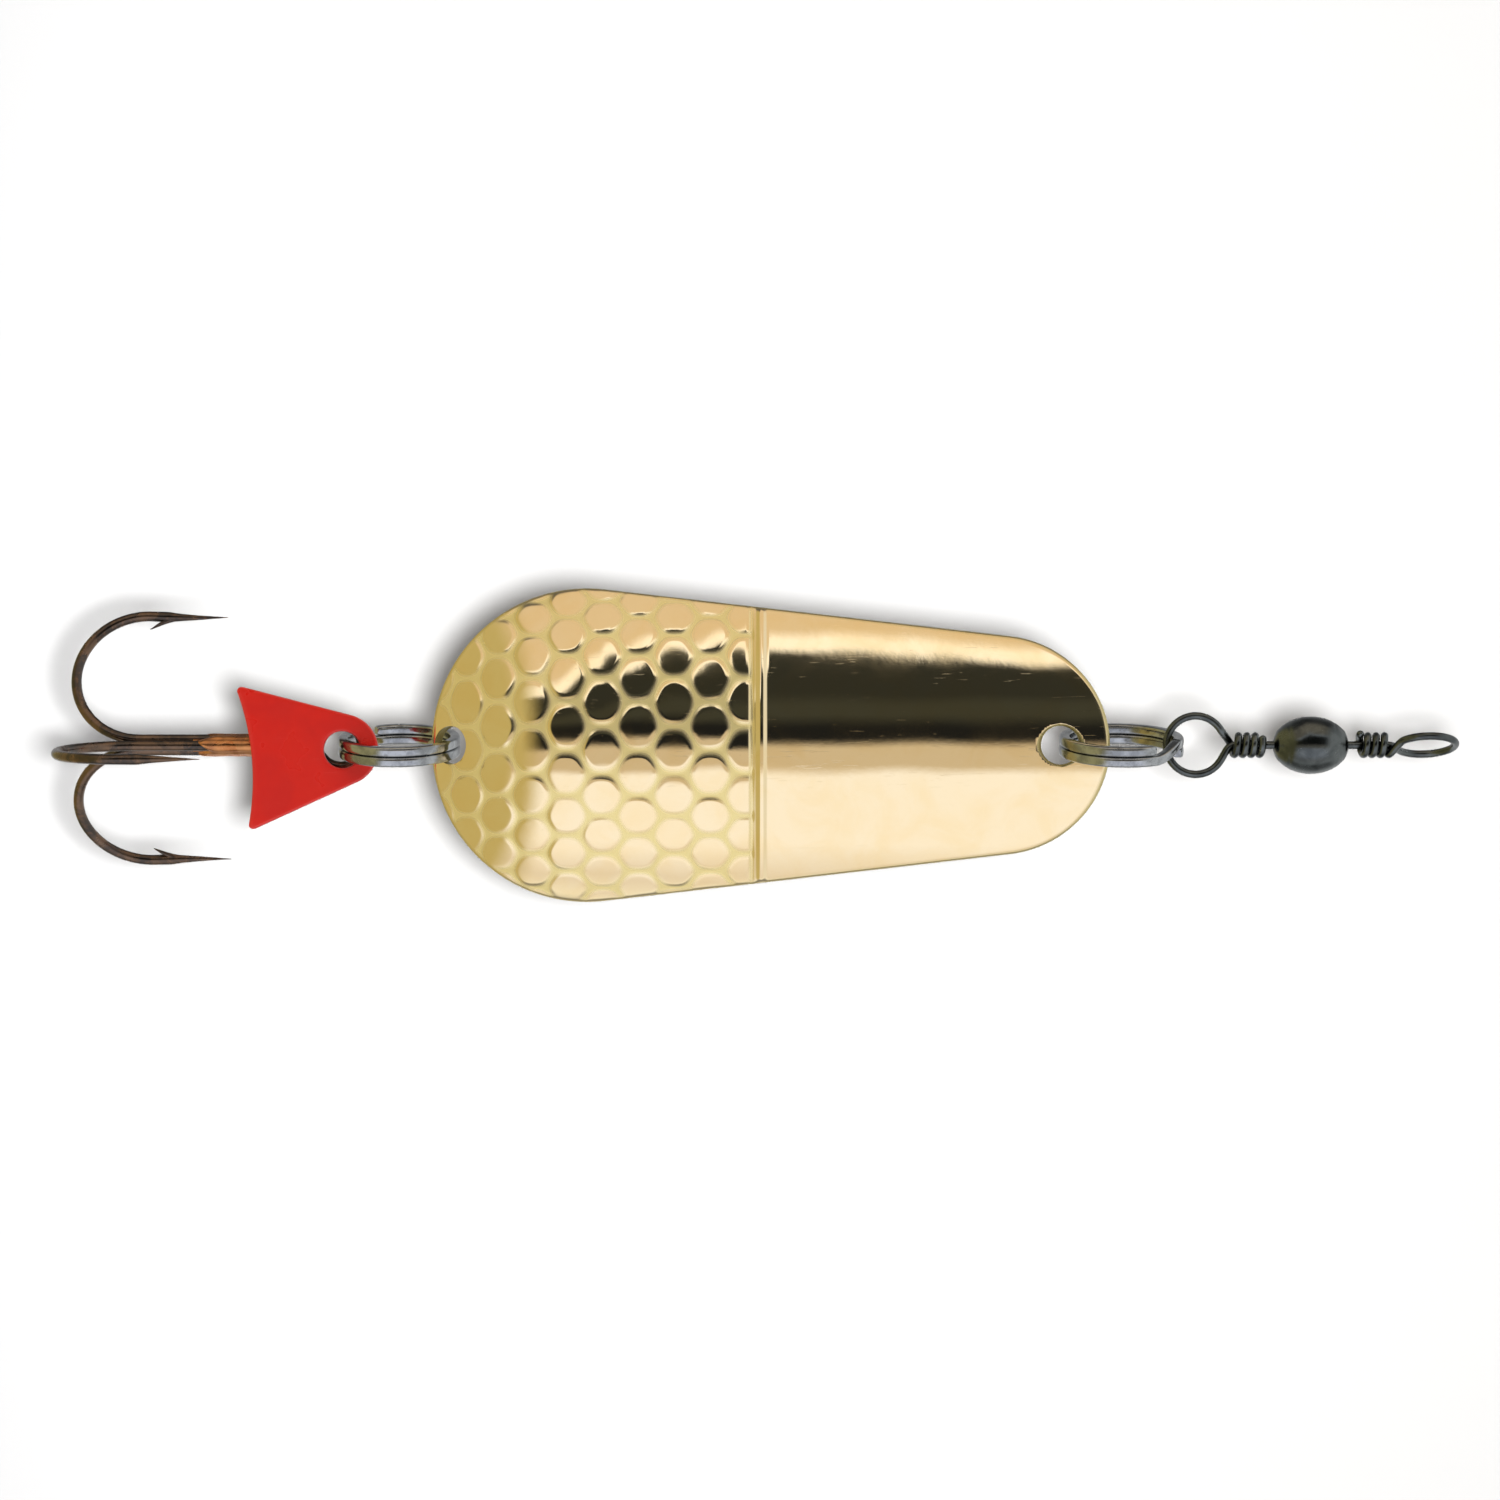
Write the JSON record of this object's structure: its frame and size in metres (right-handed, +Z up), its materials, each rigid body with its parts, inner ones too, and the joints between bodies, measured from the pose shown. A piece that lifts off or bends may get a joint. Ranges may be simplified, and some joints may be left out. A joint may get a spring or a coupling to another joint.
{
  "type": "spoon lure",
  "caption": "Dished metal spoon lure with split rings, a barrel swivel, a plastic tail flag and a treble hook.",
  "frame": {"origin": "centre of the line tie's loop, at the top of the swivel, where the lure hangs", "axes": "+Z up along the hanging lure from the hook to the line tie, -Y out of the blade's convex face, X across the blade"},
  "size_m": [0.0282, 0.0213, 0.1244],
  "materials": {
    "gold_plated_brass": "polished",
    "nickel_plated_steel": "polished",
    "red_plastic": "satin",
    "bronzed_steel": "satin",
    "braze_metal": "satin",
    "black_nickel": "polished"
  },
  "bodies": {
    "line_eye": {"swivel_front_eye": "black_nickel"},
    "barrel": {"swivel_barrel": "black_nickel"},
    "rear_eye": {"swivel_rear_eye": "black_nickel"},
    "nose_ring": {"nose_split_ring": "nickel_plated_steel"},
    "blade": {"spoon_blade": "gold_plated_brass"},
    "tail_ring": {"tail_split_ring": "nickel_plated_steel"},
    "hook": {"hook_double_wire": "bronzed_steel", "hook_single_wire": "bronzed_steel", "hook_braze": "braze_metal"},
    "flag": {"tail_flag": "red_plastic"}
  },
  "joints": [
    {"name": "barrel_spin", "type": "hinge", "parent": "line_eye", "child": "barrel", "pos_m": [0, 0, -0.0102], "axis": [0, 0, 1], "continuous": true},
    {"name": "rear_eye_spin", "type": "hinge", "parent": "barrel", "child": "rear_eye", "pos_m": [0, 0, -0.0102], "axis": [0, 0, 1], "continuous": true},
    {"name": "nose_ring_swing", "type": "hinge", "parent": "rear_eye", "child": "nose_ring", "pos_m": [0, 0, -0.023], "axis": [1, 0, 0], "range_deg": [-90, 90]},
    {"name": "blade_swing", "type": "hinge", "parent": "nose_ring", "child": "blade", "pos_m": [0, 0, -0.03202], "axis": [0, 1, 0], "range_deg": [-75, 75]},
    {"name": "tail_ring_swing", "type": "hinge", "parent": "blade", "child": "tail_ring", "pos_m": [0, 0.005, -0.088], "axis": [1, 0, 0], "range_deg": [-22, 72]},
    {"name": "hook_swing", "type": "hinge", "parent": "tail_ring", "child": "hook", "pos_m": [0, 0.0056, -0.09652], "axis": [0, 1, 0], "range_deg": [-75, 75]},
    {"name": "flag_swing", "type": "hinge", "parent": "tail_ring", "child": "flag", "pos_m": [0.0004, 0.0037, -0.09615], "axis": [0, 1, 0], "range_deg": [-75, 75]}
  ]
}
